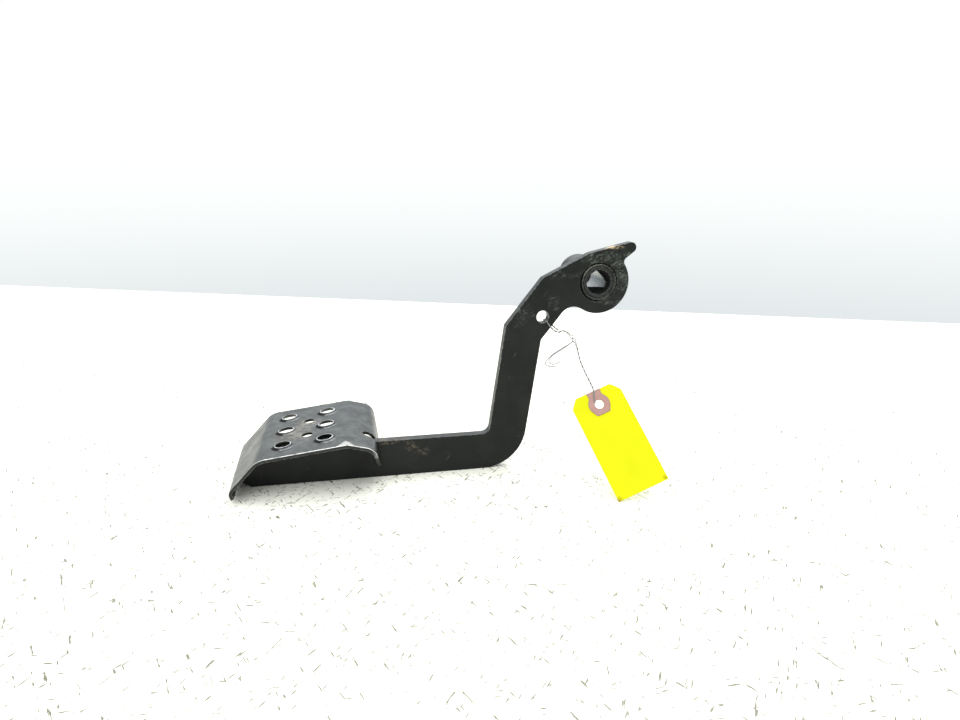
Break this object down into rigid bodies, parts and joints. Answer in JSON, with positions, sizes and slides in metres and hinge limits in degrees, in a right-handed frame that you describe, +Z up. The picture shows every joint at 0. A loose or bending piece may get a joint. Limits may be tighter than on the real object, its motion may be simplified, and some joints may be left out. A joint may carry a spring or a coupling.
{
  "type": "foot brake pedal lever",
  "caption": "Foot pedal lever: a bent flat-plate arm with a folded, perforated foot pad, a stop finger, a spring hole, a welded pivot hub with a through bore, and a tag on a wire.",
  "frame": {"origin": "on the pivot bore's axis, at the middle of the arm plate's thickness", "axes": "+X from the foot pad towards the pivot, +Y along the pivot axis from the plain side of the arm towards the hub, +Z up as the lever stands on its lower run"},
  "size_m": [0.2746, 0.1291, 0.1533],
  "materials": {
    "black_paint": "satin",
    "weld_paint": "satin",
    "bare_steel": "machined",
    "tag_stock": "matte",
    "tag_patch": "matte",
    "wire": "satin"
  },
  "bodies": {
    "root": {"arm_plate": "black_paint", "foot_pad": "black_paint", "pivot_hub": "black_paint", "pivot_sleeve": "bare_steel", "hub_weld": "weld_paint", "ramp_welds": "weld_paint", "flange_weld": "weld_paint", "tag_card": "tag_stock", "tag_patch_front": "tag_patch", "tag_patch_back": "tag_patch", "tie_wire": "wire", "wire_tail_a": "wire", "wire_tail_b": "wire"}
  },
  "joints": []
}
